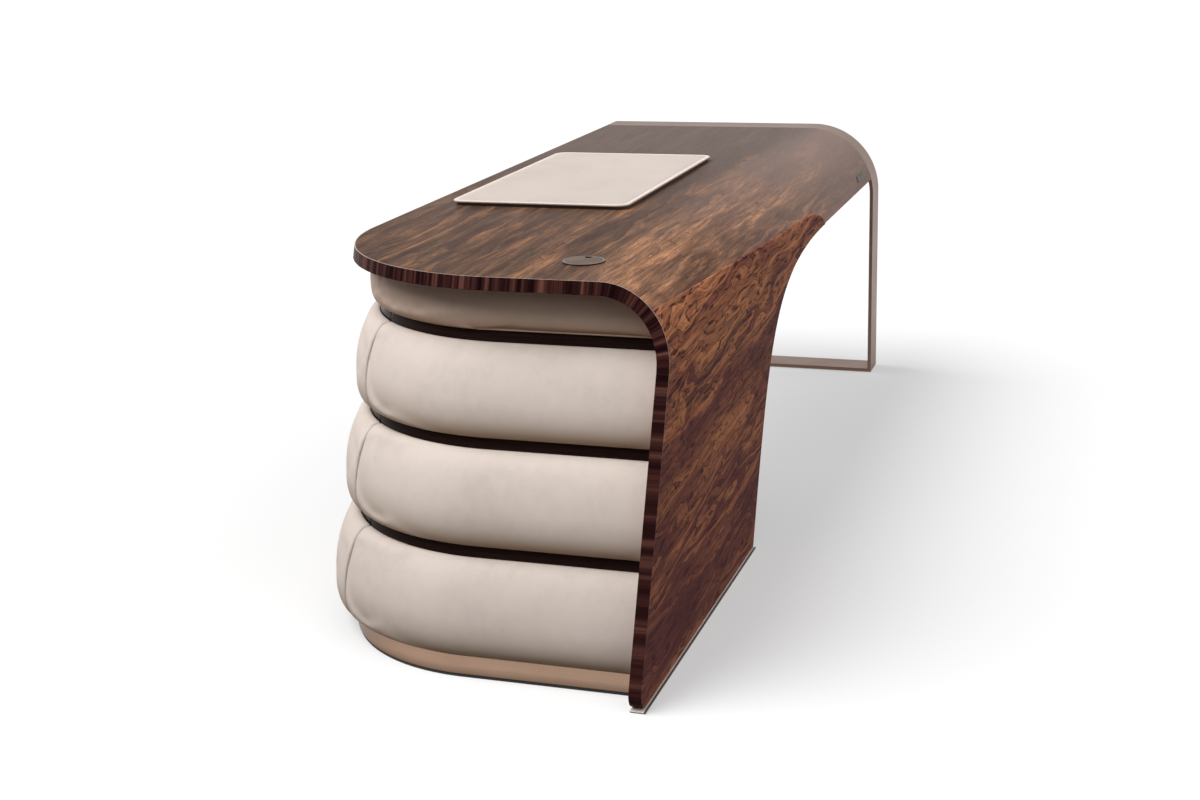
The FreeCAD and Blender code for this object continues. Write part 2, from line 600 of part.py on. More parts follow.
# Leather bands: a full run at the top, the lower ones parted at the drawer fronts
apron_pad = band(apron_z + BAND_GAP, CARCASS_TOP - FIT, APRON_BULGE, -90.0, APRON_TOP_DEG, APRON_STEPS)
parts["apron_band"] = apron_pad.common(room)
fixed_rails = []
for i in range(DRAWERS):
    name = "drawer_%d" % (i + 1)
    z0 = SUPPORTS[i]
    pad_ring = band(z0 + BAND_GAP, z0 + BAND_H - BAND_GAP, BULGE, -90.0, 90.0, BAND_STEPS).common(room)
    parts["near_band_%d" % (i + 1)] = pad_ring.common(near_zone())
    parts["far_band_%d" % (i + 1)] = pad_ring.common(far_zone())
    parts[name + "_band"] = pad_ring.common(user_zone())

    # Front board and box
    front = pedestal_ring(0.0, -WALL, z0 + FRONT_GAP, z0 + BAND_H - FRONT_GAP)
    parts[name + "_front"] = front.common(user_zone())
    box_z = z0 + RAIL_H
    box_top = z0 + BAND_H - BOX_HEAD
    inside = pedestal_prism(-WALL, z0, z0 + BAND_H)
    near_throat = PED_CORNER_R - (PED_CORNER_R - WALL) * math.cos(PARTING)
    far_throat = FAR_CORNER_R - (FAR_CORNER_R - WALL) * math.cos(PARTING)
    near_x = RECESS_X + LEAN * box_top + near_throat + BOX_CLEAR
    far_x = RECESS_X + LEAN * box_z + PED_WIDTH - far_throat - BOX_CLEAR
    back_y = BOX_BACK_Y
    side_z = box_z + BOX_BOTTOM
    bottom = block(near_x, back_y, box_z, far_x, TOP_DEPTH, side_z)
    side_near = block(near_x, back_y, side_z, near_x + BOX_SIDE, TOP_DEPTH, box_top)
    side_far = block(far_x - BOX_SIDE, back_y, side_z, far_x, TOP_DEPTH, box_top)
    parts[name + "_bottom"] = bottom.common(inside)
    parts[name + "_side_near"] = side_near.common(inside)
    parts[name + "_side_far"] = side_far.common(inside)
    box_x0 = near_x + BOX_SIDE
    box_x1 = far_x - BOX_SIDE
    parts[name + "_back"] = block(box_x0, back_y, side_z, box_x1, back_y + BOX_SIDE, box_top)

    # Telescopic runners: a channel on the board, a bar in it and a channel over the bar
    middle_rails = []
    drawer_rails = []
    half_z = z0 + RAIL_H / 2
    for x in (near_x + RAIL_INSET, far_x - RAIL_INSET - RAIL_W):
        x1 = x + RAIL_W
        y1 = back_y + RAIL_L
        low = block(x, back_y, z0, x1, y1, half_z - RAIL_SPLIT / 2)
        hollow = block(x + RAIL_T, back_y - OVER, z0 + RAIL_T, x1 - RAIL_T, y1 + OVER, half_z)
        fixed_rails.append(low.cut(hollow))
        high = block(x, back_y, half_z + RAIL_SPLIT / 2, x1, y1, z0 + RAIL_H)
        hollow = block(x + RAIL_T, back_y - OVER, half_z, x1 - RAIL_T, y1 + OVER, z0 + RAIL_H - RAIL_T)
        drawer_rails.append(high.cut(hollow))
        skin = RAIL_T + RAIL_RUN
        middle_rails.append(block(x + skin, back_y, z0 + skin, x1 - skin, y1, z0 + RAIL_H - skin))
    parts[name + "_rails"] = Part.makeCompound(drawer_rails)
    parts["middle_rails_%d" % (i + 1)] = Part.makeCompound(middle_rails)
parts["fixed_rails"] = Part.makeCompound(fixed_rails)

# Move the desk to its own centre and write the pieces
bounds = FreeCAD.BoundBox()
for shape in parts.values():
    bounds.add(shape.optimalBoundingBox())
shift = V(-bounds.Center.x, -bounds.Center.y, -bounds.ZMin)
os.makedirs("parts", exist_ok=True)
for name, shape in parts.items():
    if shape.ShapeType == "Compound" and len(shape.Solids) == 1:
        shape = shape.Solids[0]
    shape.translate(shift)
    shape.exportStep("parts/%s.step" % name)
    print(name, shape.ShapeType, len(shape.Solids), shape.isValid(), round(shape.Volume / 1000.0, 1))
print("shift", shift, "box", bounds)
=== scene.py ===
"""Looks of the executive desk: veneers, padded leather bands, metalwork and a plain studio."""

import math

import bpy
from mathutils import Matrix, Vector, noise


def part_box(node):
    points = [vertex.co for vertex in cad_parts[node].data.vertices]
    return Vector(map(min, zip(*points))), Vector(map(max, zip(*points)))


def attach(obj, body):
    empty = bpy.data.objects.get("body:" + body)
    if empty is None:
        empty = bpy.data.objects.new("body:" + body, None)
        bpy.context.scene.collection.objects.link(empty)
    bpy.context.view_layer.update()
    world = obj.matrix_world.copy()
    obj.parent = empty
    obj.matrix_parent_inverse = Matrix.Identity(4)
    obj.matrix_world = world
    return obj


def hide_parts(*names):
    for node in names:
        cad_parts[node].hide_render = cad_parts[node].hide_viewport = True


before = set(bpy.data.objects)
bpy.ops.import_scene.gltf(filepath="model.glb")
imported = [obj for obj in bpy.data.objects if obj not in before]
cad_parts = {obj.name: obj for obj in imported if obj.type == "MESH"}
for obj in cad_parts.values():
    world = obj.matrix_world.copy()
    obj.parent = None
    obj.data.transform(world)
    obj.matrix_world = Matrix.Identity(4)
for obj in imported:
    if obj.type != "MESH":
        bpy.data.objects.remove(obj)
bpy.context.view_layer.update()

bl_info = {
    "name": "Executive Desk",
    "version": (1, 0, 0),
    "blender": (4, 5, 0),
    "location": "View3D > Sidebar > Desk",
    "description": "Dresses a packed desk frame with veneer, padded leather bands and satin metal",
    "category": "Add Mesh",
}

MM = 0.001
DRAWERS = 3
DRAWER_NUMBERS = range(1, DRAWERS + 1)

# Places read from the frame, and sizes repeated from the part's source
FAR_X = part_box("end_frame_bent_bar")[1].x
VISITOR_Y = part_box("side_panel")[0].y
BAND_BACK_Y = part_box("near_band_1")[0].y
STRIP_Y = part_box("divider_1")[1].y
LEAN = math.tan(math.radians(21.8))
NEAR_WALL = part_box("pedestal_near_wall")
STRIP_X = NEAR_WALL[0].x - LEAN * NEAR_WALL[0].z
FAR_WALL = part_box("pedestal_far_wall")
PEDESTAL_W = FAR_WALL[1].x - STRIP_X - LEAN * FAR_WALL[1].z
PEDESTAL_R = 400 * MM
FAR_CORNER_R = 80 * MM
PARTING = math.radians(46)
BEND_R = 154 * MM
BEND_R_FAR = 197 * MM
SHEET = 25 * MM
TOP_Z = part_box("end_frame_bent_bar")[1].z
BEND_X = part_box("desk_top")[0].x - LEAN * BEND_R
BEND_Y = VISITOR_Y + BEND_R
BEND_Z = TOP_Z - BEND_R

# Runs of the pedestal outline, from the near back corner round to the far back corner
NEAR_RUN = STRIP_Y - PEDESTAL_R - BAND_BACK_Y
NEAR_ARC = PEDESTAL_R * math.pi / 2
USER_RUN = PEDESTAL_W - PEDESTAL_R - FAR_CORNER_R
FAR_ARC = FAR_CORNER_R * math.pi / 2
FAR_RUN = STRIP_Y - FAR_CORNER_R - BAND_BACK_Y
NEAR_PARTING = NEAR_RUN + PEDESTAL_R * PARTING
FAR_PARTING = NEAR_RUN + NEAR_ARC + USER_RUN + FAR_CORNER_R * (math.pi / 2 - PARTING)
OUTLINE_END = NEAR_RUN + NEAR_ARC + USER_RUN + FAR_ARC + FAR_RUN


def length_property(label, words, default):
    return bpy.props.FloatProperty(
        name=label, description=words, default=default, unit="LENGTH", precision=4, min=0.0
    )


def colour_property(label, words, default):
    return bpy.props.FloatVectorProperty(
        name=label, description=words, default=default, subtype="COLOR", size=3, min=0.0, max=1.0
    )


class DeskSizes(bpy.types.PropertyGroup):
    """Sizes of the padded pieces that a user may change."""

    band_stand_off: length_property("Band stand-off", "How far a leather band stands out", 50 * MM)
    apron_stand_off: length_property("Top band stand-off", "How far the top band stands out", 34 * MM)
    band_edge: length_property("Band edge", "Thickness of a band at its upper and lower edge", 7 * MM)
    band_backing: length_property("Band backing", "Gap between a band and its board", 0.4 * MM)
    seam_round: length_property("Seam rounding", "Rounding of a band at a parting seam", 6 * MM)
    panel_round: length_property("Panel end rounding", "Rounding of a band at the panel", 4 * MM)
    seam_gap: length_property("Seam gap", "Gap between two bands at a parting seam", 3.6 * MM)
    swell_limit: length_property("Swell limit", "The most that the filling moves the leather", 6 * MM)
    pad_roll: length_property("Pad roll", "Rounding of the writing pad's upper edge", 2 * MM)


class DeskColours(bpy.types.PropertyGroup):
    """Main colours of the desk's finishes."""

    leather: colour_property("Leather", "Leather of the bands", (0.79, 0.683, 0.612))
    pad: colour_property("Pad leather", "Leather of the writing pad", (0.61, 0.523, 0.47))
    lacquer: colour_property("Lacquer", "Dark gloss boards of the pedestal", (0.011, 0.0055, 0.0045))
    copper: colour_property("Copper", "Skirt of the plinth and trim of the panel", (0.36, 0.235, 0.165))
    bronze: colour_property("Bronze", "Bars of the end frame", (0.208, 0.131, 0.096))
    steel: colour_property("Steel", "Runners and screws", (0.52, 0.52, 0.53))
    rubber: colour_property("Rubber", "Feet and glides", (0.012, 0.011, 0.010))
    board: colour_property("Pad board", "Board under the writing pad", (0.022, 0.012, 0.010))


def clamp(value, low, high):
    return min(max(value, low), high)


def tinted(colour, share):
    """A colour times one number, or times a number for each channel."""
    shares = share if isinstance(share, tuple) else (share, share, share)
    return tuple(channel * own for channel, own in zip(colour, shares))


# Node helpers


def feed(tree, node, inputs):
    """Sets a node's inputs, or links them, by name or place."""
    for key, value in inputs.items():
        if isinstance(value, bpy.types.NodeSocket):
            tree.links.new(value, node.inputs[key])
        else:
            node.inputs[key].default_value = value


def add(tree, kind, inputs=None, **settings):
    """New node with its settings and its inputs."""
    node = tree.nodes.new(kind)
    for key, value in settings.items():
        setattr(node, key, value)
    feed(tree, node, inputs or {})
    return node


def maths(tree, operation, *values):
    node = add(tree, "ShaderNodeMath", dict(enumerate(values)), operation=operation)
    return node.outputs[0]


def weighted(tree, first, first_share, second, second_share):
    """Sum of two values, each times its share."""
    first = maths(tree, "MULTIPLY", first, first_share)
    second = maths(tree, "MULTIPLY", second, second_share)
    return maths(tree, "ADD", first, second)


def vectors(tree, operation, first, second):
    inputs = {0: first, 1: second}
    return add(tree, "ShaderNodeVectorMath", inputs, operation=operation).outputs[0]


def scaled(tree, vector, share):
    """A vector or a colour times one number."""
    inputs = {0: vector, "Scale": share}
    return add(tree, "ShaderNodeVectorMath", inputs, operation="SCALE").outputs[0]


def spread(tree, value, places, levels, curve="LINEAR"):
    """Goes from the first level to the second as a value goes from the first place to the second."""
    inputs = {
        "Value": value,
        "From Min": places[0],
        "From Max": places[1],
        "To Min": levels[0],
        "To Max": levels[1],
    }
    return add(tree, "ShaderNodeMapRange", inputs, interpolation_type=curve).outputs[0]


def parts_of(tree, kind, output):
    """The x, y and z sockets of a vector that a new node of this kind gives."""
    return add(tree, "ShaderNodeSeparateXYZ", {0: add(tree, kind).outputs[output]}).outputs


def place_parts(tree):
    """The x, y and z of a point in the frame of the desk."""
    return parts_of(tree, "ShaderNodeTexCoord", "Object")


def ramp(tree, factor, stops):
    """Colour ramp; each stop is a place and a grey level or a colour."""
    node = add(tree, "ShaderNodeValToRGB", {"Fac": factor})
    elements = node.color_ramp.elements
    while len(elements) < len(stops):
        elements.new(1.0)
    for element, (place, colour) in zip(elements, stops):
        if isinstance(colour, (int, float)):
            colour = (colour, colour, colour)
        element.position = place
        element.color = (*colour, 1.0)
    return node.outputs["Color"]


def opaque(colour):
    """A plain colour with its alpha, or a socket as it is."""
    return colour if isinstance(colour, bpy.types.NodeSocket) else (*colour, 1.0)


def mix(tree, factor, first, second, blend="MIX"):
    """Mix of two colours; the places are the factor and the two colour inputs of the node."""
    inputs = {0: factor, 6: opaque(first), 7: opaque(second)}
    return add(tree, "ShaderNodeMix", inputs, data_type="RGBA", blend_type=blend).outputs[2]


def grain_space(tree, size, turn=(0.0, 0.0, 0.0), start=(0.0, 0.0, 0.0)):
    """Object coordinates turned, then divided by a feature size along and across the grain."""
    coordinates = add(tree, "ShaderNodeTexCoord").outputs["Object"]
    inputs = {"Vector": coordinates, "Location": start, "Rotation": turn, "Scale": size}
    return add(tree, "ShaderNodeMapping", inputs, vector_type="TEXTURE").outputs[0]


def grey_noise(tree, vector, scale, detail, roughness=0.5, distortion=0.0, output="Fac"):
    """Noise as a grey level, or as a colour where output asks for that."""
    inputs = {
        "Vector": vector,
        "Scale": scale,
        "Detail": detail,
        "Roughness": roughness,
        "Distortion": distortion,
    }
    return add(tree, "ShaderNodeTexNoise", inputs).outputs[output]


def bump(tree, height, strength, distance, normal=None):
    inputs = {"Height": height, "Strength": strength, "Distance": distance}
    if normal is not None:
        inputs["Normal"] = normal
    return add(tree, "ShaderNodeBump", inputs).outputs[0]


def new_material(name):
    material = bpy.data.materials.new(name)
    material.use_nodes = True
    tree = material.node_tree
    return material, tree, tree.nodes["Principled BSDF"]


def paint_over(material, share, colour):
    """Mixes a colour into a finished base colour, by a share made in the same tree; here it paints shade and
    reflection.
    """
    tree = material.node_tree
    shader = tree.nodes["Principled BSDF"]
    clean = shader.inputs["Base Color"].links[0].from_socket
    feed(tree, shader, {"Base Color": mix(tree, share, clean, colour)})


def dress(node_names, material):
    """Gives CAD nodes one material all over."""
    for name in node_names:
        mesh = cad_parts[name].data
        mesh.materials.clear()
        mesh.materials.append(material)


# Materials

STREAK_ACROSS = 6.5 * MM
PORE_SIZE = (16 * MM, 0.9 * MM, 0.9 * MM)


def figured_veneer(name, look):
    """Flowing rosewood figure: growth layers with one sharp side, streaks, clouds, pores and flecks."""
    material, tree, shader = new_material(name)
    along, across = look["figure"]
    turn = look["turn"]
    space = grain_space(tree, (along, across, across), turn, look["start"])
    warp = grey_noise(tree, space, 1.1, 2.0, output="Color")
    bend = scaled(tree, vectors(tree, "SUBTRACT", warp, (0.5, 0.5, 0.5)), look["warp"])
    flow = vectors(tree, "ADD", space, bend)

    # Layers cross the sheet at an even step, and a slow field makes them swirl
    place = add(tree, "ShaderNodeSeparateXYZ", {0: flow}).outputs
    depth = maths(tree, "MULTIPLY", maths(tree, "ADD", place["Y"], place["Z"]), look["layers"])
    field = grey_noise(tree, flow, 0.9, 3.0, 0.42, 0.3)
    layer = maths(tree, "MULTIPLY_ADD", field, look["swirl"], depth)
    within = maths(tree, "FRACT", layer)
    number = maths(tree, "FLOOR", layer)
    own = add(tree, "ShaderNodeTexWhiteNoise", {"W": number}, noise_dimensions="1D").outputs["Value"]

    # Broad tone and the layer's own, then streaks along the grain
    tone = grey_noise(tree, flow, 0.9, 5.0, 0.62)
    own = maths(tree, "MULTIPLY", maths(tree, "SUBTRACT", own, 0.5), look["contrast"])
    colour = ramp(tree, maths(tree, "ADD", tone, own), look["tones"])
    streak_space = grain_space(tree, (look["streak_length"], STREAK_ACROSS, STREAK_ACROSS), turn)
    streak = grey_noise(tree, streak_space, 1.0, 3.0, 0.6, 0.4)
    streaks = ramp(tree, streak, ((0.34, 0.12), (0.5, 0.5), (0.68, 0.92)))
    colour = mix(tree, look["streak"], colour, streaks, "OVERLAY")

    # Dark clouds of heartwood
    cloud = grey_noise(tree, flow, 0.75, 4.0, 0.58, 0.7)
    cloud = ramp(tree, cloud, look["clouds"])
    colour = mix(tree, cloud, colour, look["heart"])

    # Each layer ends in a dark line that fades into it, and fine lines run between
    broken = grey_noise(tree, streak_space, 0.3, 2.0)
    broken = ramp(tree, broken, ((0.34, 0.25), (0.60, 1.0)))
    line = ramp(tree, within, ((0.0, 1.0), (0.06, 0.75), (0.24, 0.0)))
    fine = maths(tree, "FRACT", maths(tree, "MULTIPLY", layer, 2.7))
    fine = ramp(tree, fine, ((0.0, 0.6), (0.22, 0.0)))
    line = maths(tree, "MULTIPLY", maths(tree, "MAXIMUM", line, fine), broken)
    line = maths(tree, "MULTIPLY", line, look["line"])
    colour = mix(tree, line, colour, look["ink"])

    # Fine pores
    pore_space = grain_space(tree, PORE_SIZE, turn)
    pore = grey_noise(tree, pore_space, 1.0, 2.0, 0.5)
    pores = ramp(tree, pore, ((0.30, 1.0), (0.42, 0.0)))
    colour = mix(tree, maths(tree, "MULTIPLY", pores, 0.35), colour, look["ink"])

    # Dark flecks that follow the flow
    fleck_along, fleck_across = look["fleck_size"]
    fleck_space = grain_space(tree, (fleck_along, fleck_across, fleck_across), turn)
    finer = (along / fleck_along, across / fleck_across, across / fleck_across)
    drift = vectors(tree, "ADD", fleck_space, vectors(tree, "MULTIPLY", bend, finer))
    fleck = grey_noise(tree, drift, 1.0, 2.0, 0.5, 0.4)
    flecks = ramp(tree, fleck, ((0.54, 0.0), (0.66, 1.0)))
    colour = mix(tree, maths(tree, "MULTIPLY", flecks, look["fleck"]), colour, look["ink"])

    # Toward one end the figure gives way to one plain colour (on a top partly a painted grey reflection),
    # and a top gets a painted highlight over the bend
    if look["plain_end"] is not None:
        axis, start, end, share, plain_end = look["plain_end"]
        calmed = spread(tree, place_parts(tree)[axis], (start, end), (0.0, share))
        colour = mix(tree, calmed, colour, plain_end)
    if look["painted_highlight"] is not None:
        start, end, gain = look["painted_highlight"]
        lift = spread(tree, place_parts(tree)["Y"], (start, end), (1.0, gain), "SMOOTHSTEP")
        colour = scaled(tree, colour, lift)
    height = maths(tree, "SUBTRACT", streak, maths(tree, "MULTIPLY", pores, 0.6))
    gloss = look["gloss"]
    feed(tree, shader, {
        "Base Color": colour,
        "Roughness": ramp(tree, streak, ((0.3, gloss - 0.05), (0.7, gloss + 0.07))),
        "Specular IOR Level": look["shine"],
        "Normal": bump(tree, height, 0.10, 0.4 * MM),
    })
    return material


EDGE_TONES = (
    (0.40, (0.009, 0.002, 0.003)),
    (0.48, (0.025, 0.007, 0.007)),
    (0.55, (0.066, 0.022, 0.018)),
    (0.64, (0.165, 0.066, 0.050)),
)
EDGE_QUIET = (0.030, 0.009, 0.009)
EDGE_HIGHLIGHT = (0.80, 0.66, 0.56)
EDGE_FIBRE = (1.1 * MM, 1.1 * MM, 1.1 * MM)


def edge_run(tree, place):
    """How far along the edge a point lies: up the panel, round the bend and over the top."""
    flat = maths(tree, "SUBTRACT", place["Y"], BEND_Y)
    drop = maths(tree, "SUBTRACT", place["Z"], BEND_Z)
    side = maths(tree, "MULTIPLY", maths(tree, "MINIMUM", flat, 0.0), -1.0)
    side = maths(tree, "MAXIMUM", side, 0.00001)
    angle = maths(tree, "ARCTAN2", maths(tree, "MAXIMUM", drop, 0.0), side)
    run = maths(tree, "MULTIPLY", angle, BEND_R)
    run = maths(tree, "ADD", run, maths(tree, "MAXIMUM", flat, 0.0))
    return maths(tree, "ADD", run, maths(tree, "MINIMUM", drop, 0.0))


def edge_veneer():
    """Cross-grain veneer: stripes that stand square to the edge, all along it and over the bend."""
    material, tree, shader = new_material("edge_veneer")
    place = place_parts(tree)
    upright = maths(tree, "SUBTRACT", place["X"], maths(tree, "MULTIPLY", place["Z"], LEAN))
    edge = add(tree, "ShaderNodeCombineXYZ", {"X": upright, "Y": edge_run(tree, place)}).outputs[0]
    broad = grey_noise(tree, edge, 46.0, 2.0, 0.5, 0.5)
    fine = grey_noise(tree, edge, 170.0, 3.0, 0.6, 0.6)
    colour = ramp(tree, weighted(tree, broad, 0.68, fine, 0.32), EDGE_TONES)

    # The stripes grow quiet toward the floor, and a close fibre runs through them
    quiet = spread(tree, place["Z"], (0.62, 0.30), (0.0, 0.45))
    colour = mix(tree, quiet, colour, EDGE_QUIET)
    fibre = grey_noise(tree, grain_space(tree, EDGE_FIBRE), 1.0, 2.0)
    colour = mix(tree, 0.35, colour, ramp(tree, fibre, ((0.3, 0.25), (0.7, 0.75))), "OVERLAY")

    # Narrow faces that look away from the near end and the user get a painted highlight, most of all high up
    facing = parts_of(tree, "ShaderNodeNewGeometry", "True Normal")
    arris = maths(tree, "GREATER_THAN", facing["X"], -0.3)
    arris = maths(tree, "MULTIPLY", arris, maths(tree, "LESS_THAN", facing["Y"], 0.3))
    arris = maths(tree, "MULTIPLY", arris, spread(tree, place["Z"], (0.40, 0.64), (0.12, 1.0)))
    arris_highlight = maths(tree, "MULTIPLY", arris, ramp(tree, fine, ((0.3, 0.45), (0.7, 0.85))))
    soft = add(tree, "ShaderNodeBevel", {"Radius": 1.2 * MM}, samples=6).outputs[0]
    feed(tree, shader, {
        "Base Color": mix(tree, arris_highlight, colour, EDGE_HIGHLIGHT),
        "Roughness": ramp(tree, fine, ((0.3, 0.30), (0.7, 0.42))),
        "Specular IOR Level": 0.015,
        "Normal": bump(tree, fine, 0.12, 0.3 * MM, soft),
    })
    return material


# Pebbles of the leather in a metre, and the painted shade on its underside
BAND_PEBBLES = 620.0
PAD_PEBBLES = 900.0
UNDERSIDE_SHADE = ((0.10, 0.94), (0.35, 0.85), (0.48, 0.50), (0.56, 0.22), (0.66, 0.0))
UNDERSIDE_TINT = (0.48, 0.375, 0.27)


def leather(name, colour, grain):
    """Soft leather: pebble grain, faint clouds of colour, and painted shade on its underside and toward the
    floor.
    """
    material, tree, shader = new_material(name)
    coordinates = add(tree, "ShaderNodeTexCoord").outputs["Object"]
    cloud = grey_noise(tree, coordinates, 7.0, 4.0, 0.6)
    hand = grey_noise(tree, coordinates, 38.0, 3.0, 0.55)
    stops = [(place, tinted(colour, share)) for place, share in ((0.32, 0.86), (0.5, 0.95), (0.68, 1.0))]
    tone = ramp(tree, weighted(tree, cloud, 0.65, hand, 0.35), stops)

    # Pebbles with uneven sides
    wobble = scaled(tree, grey_noise(tree, coordinates, 260.0, 2.0, output="Color"), 1.6 * MM)
    inputs = {"Vector": vectors(tree, "ADD", coordinates, wobble), "Scale": grain}
    pebble = add(tree, "ShaderNodeTexVoronoi", inputs, feature="DISTANCE_TO_EDGE")
    crease = ramp(tree, pebble.outputs["Distance"], ((0.0, 0.0), (0.10, 0.7), (0.32, 1.0)))
    tone = mix(tree, 0.10, tone, crease, "MULTIPLY")

    # Painted shade: darker where it faces down, and toward the floor
    facing = parts_of(tree, "ShaderNodeNewGeometry", "Normal")["Z"]
    under = ramp(tree, maths(tree, "MULTIPLY_ADD", facing, 0.5, 0.5), UNDERSIDE_SHADE)
    tone = mix(tree, under, tone, tinted(colour, UNDERSIDE_TINT))
    # Painted shade toward the floor: the colour is scaled down to 0.8 near the floor
    clean = spread(tree, place_parts(tree)["Z"], (0.06, 0.50), (0.80, 1.0))
    dents = bump(tree, hand, 0.10, 1.5 * MM)
    feed(tree, shader, {
        "Base Color": scaled(tree, tone, clean),
        "Roughness": ramp(tree, hand, ((0.3, 0.50), (0.7, 0.62))),
        "Specular IOR Level": 0.2,
        "Sheen Weight": 0.03,
        "Sheen Roughness": 0.4,
        "Normal": bump(tree, crease, 0.16, 0.3 * MM, dents),
    })
    return material


def satin_metal(name, colour, rough, brush):
    """Brushed metal with fine lines along the brush and faint handling marks."""
    material, tree, shader = new_material(name)
    lines = grey_noise(tree, grain_space(tree, brush), 1.0, 3.0, 0.6)
    coordinates = add(tree, "ShaderNodeTexCoord").outputs["Object"]
    marks = grey_noise(tree, coordinates, 9.0, 4.0, 0.6)
    light = tuple(min(1.0, channel) for channel in tinted(colour, 1.04))
    tone = ramp(tree, lines, ((0.3, tinted(colour, 0.94)), (0.7, light)))
    tone = mix(tree, 0.15, tone, ramp(tree, marks, ((0.3, 0.42), (0.7, 0.58))), "OVERLAY")
    both = weighted(tree, lines, 0.5, marks, 0.5)
    soft = add(tree, "ShaderNodeBevel", {"Radius": 1.0 * MM}, samples=4).outputs[0]
    feed(tree, shader, {
        "Base Color": tone,
        "Metallic": 1.0,
        "Roughness": ramp(tree, both, ((0.35, rough - 0.06), (0.65, rough + 0.06))),
        "Normal": bump(tree, lines, 0.05, 0.2 * MM, soft),
    })
    return material


def gloss_lacquer(name, colour, shine, rounding):
    """Dark polished lacquer over a close grain that only just shows."""
    material, tree, shader = new_material(name)
    grain = grey_noise(tree, grain_space(tree, (0.12, 0.12, 0.0035)), 1.0, 3.0, 0.6)
    haze = grey_noise(tree, grain_space(tree, (0.05, 0.05, 0.05)), 1.0, 4.0, 0.6)
    soft = add(tree, "ShaderNodeBevel", {"Radius": rounding}, samples=8).outputs[0]
    feed(tree, shader, {
        "Base Color": ramp(tree, grain, ((0.35, colour), (0.7, tinted(colour, 2.2)))),
        "Roughness": ramp(tree, haze, ((0.3, 0.10), (0.7, 0.18))),
        "Specular IOR Level": shine,
        "Specular Tint": (0.85, 0.50, 0.40, 1.0),
        "Normal": bump(tree, grain, 0.04, 0.2 * MM, soft),
    })
    return material


def matt_rubber(name, colour):
    """Dark matt finish with a fine speck."""
    material, tree, shader = new_material(name)
    speck = grey_noise(tree, grain_space(tree, (2 * MM, 2 * MM, 2 * MM)), 1.0, 3.0, 0.6)
    feed(tree, shader, {
        "Base Color": ramp(tree, speck, ((0.35, colour), (0.7, tinted(colour, 1.9)))),
        "Roughness": ramp(tree, speck, ((0.3, 0.62), (0.7, 0.8))),
        "Normal": bump(tree, speck, 0.2, 0.3 * MM),
    })
    return material


TOP_LOOK = {
    "figure": (0.30, 0.050),
    "turn": (0.0, 0.0, 0.0),
    "start": (0.13, 0.02, 0.0),
    "warp": 0.6,
    "layers": 3.0,
    "swirl": 8.0,
    "contrast": 0.24,
    "tones": (
        (0.28, (0.055, 0.027, 0.018)),
        (0.45, (0.105, 0.053, 0.031)),
        (0.57, (0.165, 0.082, 0.045)),
        (0.74, (0.300, 0.145, 0.070)),
    ),
    "streak": 0.6,
    "streak_length": 0.11,
    "clouds": ((0.52, 0.0), (0.68, 0.50)),
    "heart": (0.062, 0.041, 0.034),
    "line": 0.75,
    "ink": (0.030, 0.014, 0.011),
    "fleck": 0.35,
    "fleck_size": (0.026, 0.0034),
    # Toward the far end the figure turns plain and grey-mauve: partly a plainer leaf, partly a painted grey
    # reflection
    "plain_end": ("X", -0.55, 0.75, 0.82, (0.116, 0.085, 0.075)),
    # Painted highlight: the top grows paler toward the bend
    "painted_highlight": (BEND_Y + 0.12, VISITOR_Y + 0.02, 2.70),
    "gloss": 0.34,
    "shine": 0.006,
}

PANEL_LOOK = {
    "figure": (0.30, 0.066),
    "turn": (0.0, math.radians(-3.0), 0.0),
    "start": (0.4, 0.0, 0.21),
    "warp": 1.0,
    "layers": 4.0,
    "swirl": 11.0,
    "contrast": 0.44,
    "tones": (
        (0.26, (0.175, 0.060, 0.051)),
        (0.42, (0.285, 0.105, 0.068)),
        (0.54, (0.390, 0.152, 0.084)),
        (0.70, (0.570, 0.232, 0.112)),
    ),
    "streak": 0.44,
    "streak_length": 0.26,
    "clouds": ((0.54, 0.0), (0.63, 0.62)),
    "heart": (0.100, 0.040, 0.042),
    "line": 0.95,
    "ink": (0.030, 0.009, 0.009),
    "fleck": 0.85,
    "fleck_size": (0.060, 0.0070),
    "plain_end": ("Z", 0.60, 0.05, 0.42, (0.145, 0.050, 0.054)),
    "painted_highlight": None,
    "gloss": 0.42,
    "shine": 0.003,
}

DRAWER_LOOK = {
    "figure": (0.6, 0.045),
    "turn": (0.0, 0.0, 0.0),
    "start": (0.0, 0.0, 0.0),
    "warp": 0.3,
    "layers": 2.5,
    "swirl": 2.0,
    "contrast": 0.08,
    "tones": (
        (0.3, (0.26, 0.15, 0.085)),
        (0.5, (0.34, 0.205, 0.12)),
        (0.62, (0.40, 0.25, 0.15)),
        (0.75, (0.46, 0.30, 0.185)),
    ),
    "streak": 0.5,
    "streak_length": 0.34,
    "clouds": ((0.7, 0.0), (0.9, 0.3)),
    "heart": (0.20, 0.11, 0.06),
    "line": 0.25,
    "ink": (0.15, 0.08, 0.045),
    "fleck": 0.15,
    "fleck_size": (0.026, 0.0034),
    "plain_end": None,
    "painted_highlight": None,
    "gloss": 0.5,
    "shine": 0.25,
}


# Padded bands


